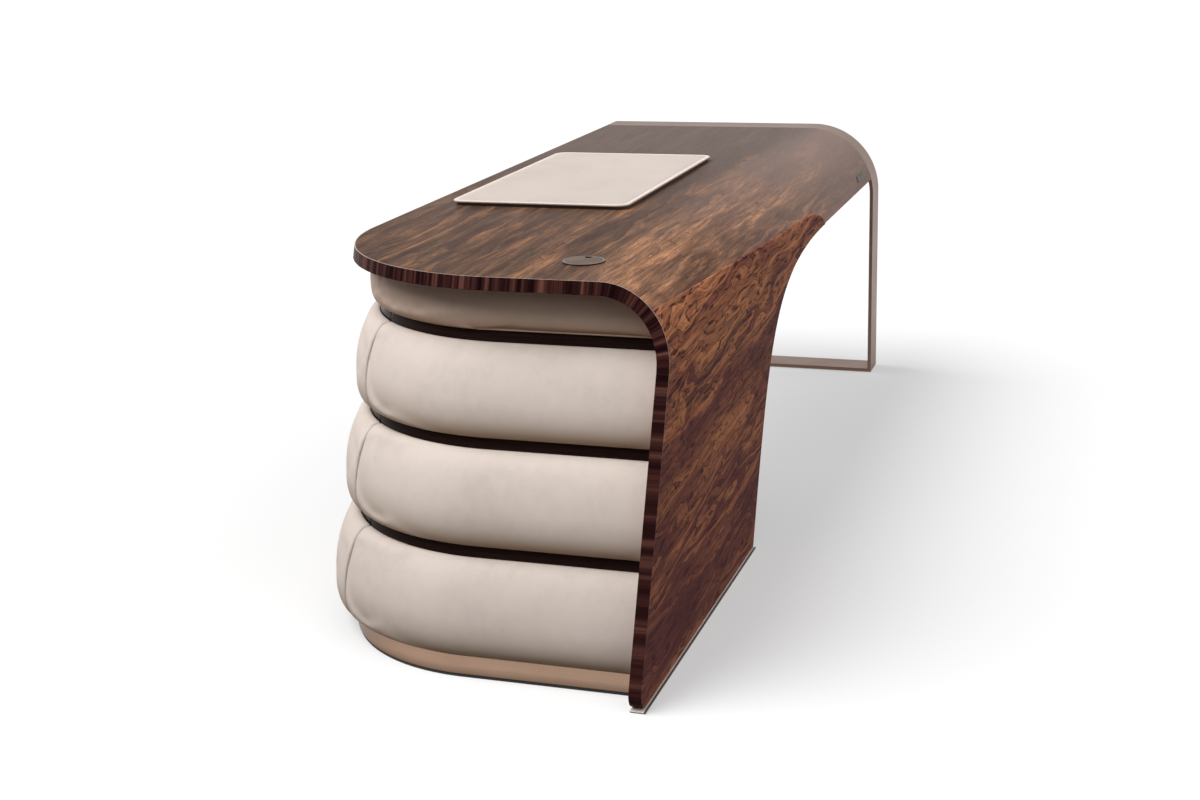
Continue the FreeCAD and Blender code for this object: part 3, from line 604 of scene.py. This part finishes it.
def outline_at(run):
    """Point and outward direction on the pedestal outline, at the floor, this far along it."""
    if run <= NEAR_RUN:
        return Vector((STRIP_X, BAND_BACK_Y + run, 0)), Vector((-1, 0, 0))
    run -= NEAR_RUN
    if run <= NEAR_ARC:
        turn = run / PEDESTAL_R
        out = Vector((-math.cos(turn), math.sin(turn), 0))
        return Vector((STRIP_X + PEDESTAL_R, STRIP_Y - PEDESTAL_R, 0)) + out * PEDESTAL_R, out
    run -= NEAR_ARC
    if run <= USER_RUN:
        return Vector((STRIP_X + PEDESTAL_R + run, STRIP_Y, 0)), Vector((0, 1, 0))
    run -= USER_RUN
    far_x = STRIP_X + PEDESTAL_W
    if run <= FAR_ARC:
        turn = run / FAR_CORNER_R
        out = Vector((math.sin(turn), math.cos(turn), 0))
        return Vector((far_x - FAR_CORNER_R, STRIP_Y - FAR_CORNER_R, 0)) + out * FAR_CORNER_R, out
    run -= FAR_ARC
    return Vector((far_x, STRIP_Y - FAR_CORNER_R - run, 0)), Vector((1, 0, 0))


def sheet_inside(x, z):
    """How far the inner face of the bent sheet stands forward of its flat, at this place."""
    radius = BEND_R_FAR + (BEND_R - BEND_R_FAR) * (FAR_X - x) / (FAR_X - BEND_X)
    inner = radius - SHEET
    rise = clamp(z - (TOP_Z - radius), 0.0, inner)
    return inner - math.sqrt(inner * inner - rise * rise)


PROFILE_STEPS = 20
ROWS = PROFILE_STEPS + 1
RING = 2 * ROWS
END_STEPS = 5
RING_STEP = 11 * MM
START_FILL = 0.93
PULL_REACH = 16 * MM
RIPPLE_DEPTH = 0.9 * MM
DRIFT_DEPTH = 0.8 * MM
CLOTH_FRAMES = 16

# Angles that the curve of a band goes through, from its lower edge to its upper one
ARCH = (-90.0, 90.0)
TOP_ARCH = (-90.0, 20.0)


def ring_runs(start, end, first_round, last_round):
    """Places of a band's rings, close together where its ends are rounded, each with its inset there."""
    places = []
    for i in range(END_STEPS):
        turn = math.pi / 2 * i / END_STEPS
        places.append((start + first_round * (1 - math.cos(turn)), first_round * (1 - math.sin(turn))))
    inner_start = start + first_round
    inner_end = end - last_round
    count = max(6, round((inner_end - inner_start) / RING_STEP))
    for i in range(count + 1):
        places.append((inner_start + (inner_end - inner_start) * i / count, 0.0))
    for i in reversed(range(END_STEPS)):
        turn = math.pi / 2 * i / END_STEPS
        places.append((end - last_round * (1 - math.cos(turn)), last_round * (1 - math.sin(turn))))
    return places


class Band:
    """A padded leather band: rings of an outer curve and a backing column, closed at both ends."""

    def __init__(self, sizes, name, node, body, span, angles, rounds, stand_off=None):
        self.sizes = sizes
        self.stand_off = stand_off or sizes.band_stand_off
        self.node = node
        self.body = body
        low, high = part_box(node)
        self.z0 = low.z
        self.z1 = high.z
        self.low = math.sin(math.radians(angles[0]))
        self.high = math.sin(math.radians(angles[1]))
        self.angles = angles
        self.rings = ring_runs(span[0], span[1], rounds[0], rounds[1])
        self.span = span
        points, faces, self.places = self.shell(START_FILL)
        mesh = bpy.data.meshes.new(name)
        mesh.from_pydata([tuple(p) for p in points], [], faces)
        mesh.update()
        self.piece = bpy.data.objects.new(name, mesh)
        bpy.context.scene.collection.objects.link(self.piece)
        held = self.piece.vertex_groups.new(name="held")
        inside = range(1, ROWS - 1)
        fixed = [i for i in range(len(points)) if i % RING not in inside]
        held.add(fixed, 1.0, "REPLACE")

    def full_offset(self, share):
        """Stand-off of the full band at a share of its height."""
        sine = self.low + (self.high - self.low) * clamp(share, 0.0, 1.0)
        cosine = math.sqrt(max(0.0, 1 - sine * sine))
        return self.sizes.band_edge + (self.stand_off - self.sizes.band_edge) * cosine

    def place(self, run, offset, z):
        """Point of the band; both ends of its run are drawn in to clear the bent sheet."""
        if run < NEAR_RUN:
            clear = sheet_inside(STRIP_X + LEAN * z, z)
            run = clear + (NEAR_RUN - clear) * run / NEAR_RUN
        elif run > OUTLINE_END - FAR_RUN:
            clear = sheet_inside(STRIP_X + PEDESTAL_W + LEAN * z, z)
            run = OUTLINE_END - clear - (FAR_RUN - clear) * (OUTLINE_END - run) / FAR_RUN
        base, out = outline_at(run)
        point = base + out * offset
        return Vector((point.x + LEAN * z, point.y, z))

    def shell(self, fill):
        """Points and faces of the band filled to a share, and each point's run, stand-off and height."""
        points = []
        places = []
        middle = (self.z0 + self.z1) / 2
        height = self.z1 - self.z0
        backing = self.sizes.band_backing
        edge = self.sizes.band_edge
        for run, inset in self.rings:
            squeeze = 1 - 2 * inset / height
            outer = []
            back = []
            for i in range(ROWS):
                angle = self.angles[0] + (self.angles[1] - self.angles[0]) * i / PROFILE_STEPS
                share = (math.sin(math.radians(angle)) - self.low) / (self.high - self.low)
                z = middle + (self.z0 + height * share - middle) * squeeze
                offset = edge + (self.full_offset(share) - edge) * fill
                offset = max(offset - inset, 2 * backing)
                outer.append((run, offset, z))
                back.append((run, backing, z))
            for place in outer + back:
                places.append(place)
                points.append(self.place(*place))
        faces = []
        top = PROFILE_STEPS
        for r in range(len(self.rings) - 1):
            a = r * RING
            b = a + RING
            for i in range(PROFILE_STEPS):
                faces.append((a + i, b + i, b + i + 1, a + i + 1))
                faces.append((a + ROWS + i, a + ROWS + i + 1, b + ROWS + i + 1, b + ROWS + i))
            faces.append((a + top, b + top, b + ROWS + top, a + ROWS + top))
            faces.append((a, a + ROWS, b + ROWS, b))
        last = (len(self.rings) - 1) * RING
        for i in range(PROFILE_STEPS):
            faces.append((i, i + 1, ROWS + i + 1, ROWS + i))
            faces.append((last + i, last + ROWS + i, last + ROWS + i + 1, last + i + 1))
        return points, faces, places

    def settle(self, swollen):
        """Takes the swollen leather back inside the band's own room and adds the pull of its seams."""
        limit = self.sizes.swell_limit
        mesh = self.piece.data
        height = self.z1 - self.z0
        for i, vertex in enumerate(mesh.vertices):
            run, offset, z = self.places[i]
            if i % RING >= ROWS:
                continue
            out = outline_at(run)[1]
            move = swollen[i] - vertex.co
            swell = clamp(move.dot(out), -limit, limit)
            lift = clamp(move.z, -limit / 3, limit / 3)
            inset = self.rings[i // RING][1]
            z = clamp(z + lift, self.z0 + inset, self.z1 - inset)
            share = (z - self.z0) / height
            full = self.full_offset(share)
            ends = min(run - self.span[0], self.span[1] - run)
            pull = math.exp(-ends / PULL_REACH)
            ripple = noise.noise(Vector((run * 55, z * 75, self.z0 * 10)))
            drift = noise.noise(Vector((run * 7, z * 9, self.z0 * 10 + 3)))
            offset = min(offset + swell, full - inset) - abs(ripple) * pull * RIPPLE_DEPTH
            bulge = math.sin(math.pi * clamp(share, 0.0, 1.0))
            offset -= (0.5 + 0.5 * drift) * DRIFT_DEPTH * bulge
            vertex.co = self.place(run, max(offset, 2 * self.sizes.band_backing), z)
        mesh.update()


def swell(bands):
    """Fills the bands with a short cloth run; returns where each point of each band went."""
    scene = bpy.context.scene
    for band in bands:
        cloth = band.piece.modifiers.new("filling", "CLOTH")
        cloth.settings.quality = 5
        cloth.settings.mass = 0.35
        cloth.settings.tension_stiffness = 18
        cloth.settings.compression_stiffness = 18
        cloth.settings.bending_stiffness = 2.0
        cloth.settings.use_pressure = True
        cloth.settings.uniform_pressure_force = 4.0
        cloth.settings.vertex_group_mass = "held"
        cloth.settings.effector_weights.gravity = 0.0
        cloth.collision_settings.use_collision = False
        cloth.collision_settings.use_self_collision = False
        cloth.point_cache.frame_start = 1
        cloth.point_cache.frame_end = CLOTH_FRAMES
    for number in range(1, CLOTH_FRAMES + 1):
        scene.frame_set(number)
    graph = bpy.context.evaluated_depsgraph_get()
    results = []
    for band in bands:
        shape = band.piece.evaluated_get(graph).data
        results.append([vertex.co.copy() for vertex in shape.vertices])
    for band in bands:
        band.piece.modifiers.clear()
    scene.frame_set(1)
    return results


def finish_soft(piece, material, node, body):
    """Smooths a soft piece, gives it its leather and puts it in place of its CAD node."""
    piece.data.materials.append(material)
    for polygon in piece.data.polygons:
        polygon.use_smooth = True
    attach(piece, body)
    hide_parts(node)


# Each lamp has a name, a strength, a spread in degrees and the way toward it
LAMPS = (
    ("key", 2.90, 50.0, (-0.26, 0.62, 0.95)),
    ("fill", 0.90, 80.0, (-0.12, -0.88, 0.55)),
)
FLOOR_HALF = 60.0
FLOOR_SEEN = (0.85, 0.85, 0.85)
FLOOR_LIT = (0.11, 0.10, 0.09)
FLOOR_GLOW = 1.04
GLOW_SHARE = 0.33
CAMERA_PLACE = (-4.16989, -1.3214, 1.4877)
CAMERA_AZIMUTH = math.radians(-71.473)
CAMERA_ELEVATION = math.radians(16.143)
CAMERA_ROLL = math.radians(1.684)
CAMERA_LENS = 54.077
SENSOR_WIDTH = 36.0


class DESK_OT_stage(bpy.types.Operator):
    """Floor, light and camera"""

    bl_idname = "desk.stage"
    bl_label = "Studio"

    def execute(self, context):
        scene = context.scene
        scene.view_settings.view_transform = "Standard"
        self.world(scene)
        self.floor(scene)
        for row in LAMPS:
            self.lamp(scene, *row)
        self.camera(scene)
        return {"FINISHED"}

    def background_seen(self, tree):
        """1 for rays from the camera, and for reflections and glass; 0 for the rest."""
        path = add(tree, "ShaderNodeLightPath").outputs
        seen = maths(tree, "MAXIMUM", path["Is Camera Ray"], path["Is Glossy Ray"])
        return maths(tree, "MAXIMUM", seen, path["Is Transmission Ray"])

    def world(self, scene):
        scene.world = bpy.data.worlds.new("studio")
        scene.world.use_nodes = True
        tree = scene.world.node_tree
        background = tree.nodes["Background"]
        height = parts_of(tree, "ShaderNodeTexCoord", "Generated")["Z"]
        overhead = spread(tree, height, (0.0, 1.0), (0.02, 0.52))
        strength = maths(tree, "MAXIMUM", overhead, self.background_seen(tree))
        feed(tree, background, {"Color": (1.0, 1.0, 1.0, 1.0), "Strength": strength})

    def floor(self, scene):
        half = FLOOR_HALF
        mesh = bpy.data.meshes.new("floor")
        corners = [(-half, -half, 0), (half, -half, 0), (half, half, 0), (-half, half, 0)]
        mesh.from_pydata(corners, [], [(0, 1, 2, 3)])
        floor = bpy.data.objects.new("floor", mesh)
        scene.collection.objects.link(floor)
        material, tree, shader = new_material("floor_white")
        tree.nodes.remove(shader)
        seen = self.background_seen(tree)
        shade = mix(tree, seen, FLOOR_LIT, FLOOR_SEEN)
        paint = add(tree, "ShaderNodeBsdfDiffuse", {"Color": shade}).outputs[0]
        inputs = {"Color": (1.0, 1.0, 1.0, 1.0), "Strength": FLOOR_GLOW}
        glow = add(tree, "ShaderNodeEmission", inputs).outputs[0]
        share = maths(tree, "MULTIPLY", seen, GLOW_SHARE)
        blend = add(tree, "ShaderNodeMixShader", {0: share, 1: paint, 2: glow}).outputs[0]
        tree.links.new(blend, tree.nodes["Material Output"].inputs["Surface"])
        mesh.materials.append(material)

    def lamp(self, scene, name, strength, spread, toward):
        data = bpy.data.lights.new(name, "SUN")
        data.energy = strength
        data.angle = math.radians(spread)
        lamp = bpy.data.objects.new(name, data)
        lamp.rotation_euler = Vector(toward).to_track_quat("Z", "Y").to_euler()
        scene.collection.objects.link(lamp)

    def camera(self, scene):
        level_reach = math.cos(CAMERA_ELEVATION)
        back = Vector((
            math.sin(CAMERA_AZIMUTH) * level_reach,
            -math.cos(CAMERA_AZIMUTH) * level_reach,
            math.sin(CAMERA_ELEVATION),
        ))
        level = (-back).cross(Vector((0, 0, 1))).normalized()
        down = (-back).cross(level)
        right = level * math.cos(CAMERA_ROLL) + down * math.sin(CAMERA_ROLL)
        up = level * math.sin(CAMERA_ROLL) - down * math.cos(CAMERA_ROLL)
        data = bpy.data.cameras.new("camera")
        data.sensor_width = SENSOR_WIDTH
        data.lens = CAMERA_LENS
        camera = bpy.data.objects.new("camera", data)
        turn = Matrix((right, up, back)).transposed().to_4x4()
        camera.matrix_world = Matrix.Translation(CAMERA_PLACE) @ turn
        scene.collection.objects.link(camera)
        scene.camera = camera


class DESK_OT_veneer(bpy.types.Operator):
    """Moulded top, side panel and their edge veneer"""

    bl_idname = "desk.veneer"
    bl_label = "Veneered top and panel"

    def execute(self, context):
        dress(["desk_top"], figured_veneer("top_veneer", TOP_LOOK))
        dress(["side_panel"], figured_veneer("panel_veneer", PANEL_LOOK))
        dress(["edge_veneer"], edge_veneer())
        return {"FINISHED"}


class DESK_OT_end_frame(bpy.types.Operator):
    """Metal end frame, glides and fixings"""

    bl_idname = "desk.end_frame"
    bl_label = "End frame"

    def execute(self, context):
        colours = context.scene.desk_colours
        bars = ["end_frame_bent_bar", "end_frame_user_post", "end_frame_floor_bar"]
        dress(bars, satin_metal("bronze", tuple(colours.bronze), 0.42, (0.0006, 0.05, 0.05)))
        zinced = ["end_frame_plate", "end_frame_screws", "pedestal_screws", "fixed_rails"]
        for i in DRAWER_NUMBERS:
            zinced += ["middle_rails_%d" % i, "drawer_%d_rails" % i]
        dress(zinced, satin_metal("zinc_steel", tuple(colours.steel), 0.32, (0.02, 0.02, 0.0008)))
        feet = ["end_frame_glides", "panel_foot", "plinth_foot"]
        dress(feet, matt_rubber("dark_foot", tuple(colours.rubber)))
        return {"FINISHED"}


class DESK_OT_trim(bpy.types.Operator):
    """Copper skirt of the plinth, trim of the panel, the cable grommet and the bare plate"""

    bl_idname = "desk.trim"
    bl_label = "Copper trim and grommet"

    def execute(self, context):
        colours = context.scene.desk_colours
        copper = tuple(colours.copper)
        skirt = satin_metal("copper", copper, 0.30, (0.2, 0.2, 0.0007))
        tree = skirt.node_tree
        # Painted reflection and painted shade: the skirt darkens where it faces the user and toward its foot
        facing = parts_of(tree, "ShaderNodeNewGeometry", "Normal")
        side = spread(tree, facing["Y"], (0.40, 0.95), (0.0, 0.75))
        foot = spread(tree, place_parts(tree)["Z"], (22 * MM, 2 * MM), (0.0, 0.75))
        paint_over(skirt, maths(tree, "MAXIMUM", side, foot), (0.050, 0.026, 0.016))
        dress(["plinth_skirt"], skirt)
        # The trim's colour is made far paler than the copper: a painted highlight on its lit top
        painted_highlight = tuple(0.52 + channel for channel in copper)
        trim = satin_metal("pale_copper", painted_highlight, 0.45, (0.2, 0.2, 0.02))
        tree = trim.node_tree
        tree.nodes["Principled BSDF"].inputs["Metallic"].default_value = 0.3
        # Painted shade: the outer lip of the trim is darkened
        lip_places = (VISITOR_Y - 3 * MM, VISITOR_Y - 4 * MM)
        lip = spread(tree, place_parts(tree)["Y"], lip_places, (0.0, 0.93))
        paint_over(trim, lip, (0.030, 0.014, 0.012))
        dress(["panel_trim"], trim)
        small_parts = (
            ("grommet_ring", "black_bronze", tinted(colours.bronze, 0.08), 0.10),
            ("badge_plate", "brown_bronze", tinted(colours.bronze, 0.30), 0.02),
            ("grommet_cap", "warm_bronze", tinted(copper, 0.33), 0.004),
        )
        for node, finish, colour, shine in small_parts:
            dress([node], gloss_lacquer(finish, colour, shine, 0.8 * MM))
        return {"FINISHED"}


class DESK_OT_carcass(bpy.types.Operator):
    """Dark lacquered boards of the pedestal and the fronts behind the leather"""

    bl_idname = "desk.carcass"
    bl_label = "Pedestal carcass"

    def execute(self, context):
        boards = ["pedestal_" + word for word in (
            "near_wall", "far_wall", "back", "base_board", "top_board", "apron_board"
        )]
        boards += ["divider_%d" % i for i in DRAWER_NUMBERS]
        boards += ["drawer_%d_front" % i for i in DRAWER_NUMBERS]
        lacquer = tuple(context.scene.desk_colours.lacquer)
        dress(boards, gloss_lacquer("dark_lacquer", lacquer, 0.035, 7 * MM))
        return {"FINISHED"}


class DESK_OT_drawer_boxes(bpy.types.Operator):
    """Oiled wood of the drawer boxes"""

    bl_idname = "desk.drawer_boxes"
    bl_label = "Drawer boxes"

    def execute(self, context):
        names = []
        for i in DRAWER_NUMBERS:
            names += ["drawer_%d_%s" % (i, word) for word in ("bottom", "side_far", "side_near")]
        lengthwise = dict(DRAWER_LOOK, turn=(0.0, 0.0, math.radians(90.0)))
        dress(names, figured_veneer("drawer_wood", lengthwise))
        backs = ["drawer_%d_back" % i for i in DRAWER_NUMBERS]
        dress(backs, figured_veneer("drawer_back_wood", DRAWER_LOOK))
        return {"FINISHED"}


class DESK_OT_bands(bpy.types.Operator):
    """Padded leather bands round the pedestal and on the drawers"""

    bl_idname = "desk.bands"
    bl_label = "Leather bands"

    def execute(self, context):
        sizes = context.scene.desk_sizes
        gap = sizes.seam_gap / 2
        seam = sizes.seam_round
        panel = sizes.panel_round
        whole = (0.0, OUTLINE_END)
        near = (0.0, NEAR_PARTING - gap)
        drawer = (NEAR_PARTING + gap, FAR_PARTING - gap)
        far = (FAR_PARTING + gap, OUTLINE_END)
        apron = ("leather_apron", "apron_band", "desk", whole, TOP_ARCH, (panel, panel))
        bands = [Band(sizes, *apron, sizes.apron_stand_off)]
        for i in DRAWER_NUMBERS:
            rows = (
                ("leather_near_%d" % i, "near_band_%d" % i, "desk", near, ARCH, (panel, seam)),
                ("leather_drawer_%d" % i, "drawer_%d_band" % i, "drawer_%d" % i, drawer, ARCH, (seam, seam)),
                ("leather_far_%d" % i, "far_band_%d" % i, "desk", far, ARCH, (seam, panel)),
            )
            bands += [Band(sizes, *row) for row in rows]
        shapes = swell(bands)
        colour = tuple(context.scene.desk_colours.leather)
        hide = leather("band_leather", colour, BAND_PEBBLES)
        # The top band gets a darker copy of the leather: painted shade under the overhanging top
        brown = tinted(colour, (0.80, 0.69, 0.62))
        hides = [leather("apron_leather_shaded", brown, BAND_PEBBLES)] + [hide] * (len(bands) - 1)
        for band, shape, own in zip(bands, shapes, hides):
            band.settle(shape)
            band.piece.modifiers.new("smooth", "SUBSURF").render_levels = 1
            finish_soft(band.piece, own, band.node, band.body)
        return {"FINISHED"}


class DESK_OT_writing_pad(bpy.types.Operator):
    """Leather writing pad with rolled edges, on its dark board"""

    bl_idname = "desk.writing_pad"
    bl_label = "Writing pad"

    def execute(self, context):
        colours = context.scene.desk_colours
        dress(["writing_pad_base"], matt_rubber("pad_board", tuple(colours.board)))
        piece, rim = self.slab(context.scene)
        hide = leather("pad_leather", tuple(colours.pad), PAD_PEBBLES)
        finish_soft(piece, hide, "writing_pad", "desk")
        # The rolled rim gets a paler copy of the pad leather: a painted highlight along its edge
        painted_highlight = tinted(colours.pad, 1.35)
        piece.data.materials.append(leather("pad_rim_highlight", painted_highlight, PAD_PEBBLES))
        for number in rim:
            piece.data.polygons[number].material_index = 1
        return {"FINISHED"}

    def slab(self, scene):
        """Closed slab of rounded loops, and the numbers of the faces of its rolled rim."""
        low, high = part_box("writing_pad")
        corner = 30 * MM
        steps = 8
        count = 4 * (steps + 1)
        roll = scene.desk_sizes.pad_roll
        loops = [(1.0 * MM, low.z), (0.25 * MM, low.z + 0.6 * MM), (0.0, low.z + 1.4 * MM)]
        for i in range(7):
            turn = math.pi / 2 * i / 6
            loops.append((roll * (1 - math.cos(turn)), high.z - roll * (1 - math.sin(turn))))
        seam = 11 * MM
        loops += [(seam - 1.6 * MM, high.z), (seam, high.z - 0.9 * MM)]
        rim_faces = range(1, 1 + count * (len(loops) - 1))
        loops += [(seam + 1.6 * MM, high.z - 0.3 * MM), (30 * MM, high.z - 0.3 * MM)]
        points = []
        for inset, z in loops:
            radius = max(corner - inset, 1.5 * MM)
            x0 = low.x + inset + radius
            x1 = high.x - inset - radius
            y0 = low.y + inset + radius
            y1 = high.y - inset - radius
            for centre_x, centre_y, first in ((x1, y1, 0), (x0, y1, 90), (x0, y0, 180), (x1, y0, 270)):
                for i in range(steps + 1):
                    turn = math.radians(first + 90 * i / steps)
                    x = centre_x + radius * math.cos(turn)
                    y = centre_y + radius * math.sin(turn)
                    points.append((x, y, z))
        faces = [tuple(reversed(range(count)))]
        for r in range(len(loops) - 1):
            for i in range(count):
                j = (i + 1) % count
                faces.append((r * count + i, r * count + j, (r + 1) * count + j, (r + 1) * count + i))
        last = (len(loops) - 1) * count
        faces.append(tuple(range(last, last + count)))
        mesh = bpy.data.meshes.new("leather_pad")
        mesh.from_pydata(points, [], faces)
        mesh.update()
        piece = bpy.data.objects.new("leather_pad", mesh)
        scene.collection.objects.link(piece)
        return piece, rim_faces


class DESK_PT_panel(bpy.types.Panel):
    """Lists the desk's pieces and their sizes and colours"""

    bl_idname = "DESK_PT_panel"
    bl_label = "Executive Desk"
    bl_space_type = "VIEW_3D"
    bl_region_type = "UI"
    bl_category = "Desk"

    def draw(self, context):
        for group in (context.scene.desk_sizes, context.scene.desk_colours):
            for key in group.bl_rna.properties.keys():
                if key not in ("rna_type", "name"):
                    self.layout.prop(group, key)
        for operator in PIECES:
            self.layout.operator(operator.bl_idname)


PIECES = (
    DESK_OT_stage,
    DESK_OT_veneer,
    DESK_OT_end_frame,
    DESK_OT_trim,
    DESK_OT_carcass,
    DESK_OT_drawer_boxes,
    DESK_OT_bands,
    DESK_OT_writing_pad,
)
CLASSES = (DeskSizes, DeskColours) + PIECES + (DESK_PT_panel,)


def register():
    for item in CLASSES:
        bpy.utils.register_class(item)
    bpy.types.Scene.desk_sizes = bpy.props.PointerProperty(type=DeskSizes)
    bpy.types.Scene.desk_colours = bpy.props.PointerProperty(type=DeskColours)


def unregister():
    del bpy.types.Scene.desk_colours
    del bpy.types.Scene.desk_sizes
    for item in reversed(CLASSES):
        bpy.utils.unregister_class(item)


def main():
    register()
    bpy.ops.desk.stage()
    bpy.ops.desk.veneer()
    bpy.ops.desk.end_frame()
    bpy.ops.desk.trim()
    bpy.ops.desk.carcass()
    bpy.ops.desk.drawer_boxes()
    bpy.ops.desk.bands()
    bpy.ops.desk.writing_pad()


if __name__ == "__main__":
    main()
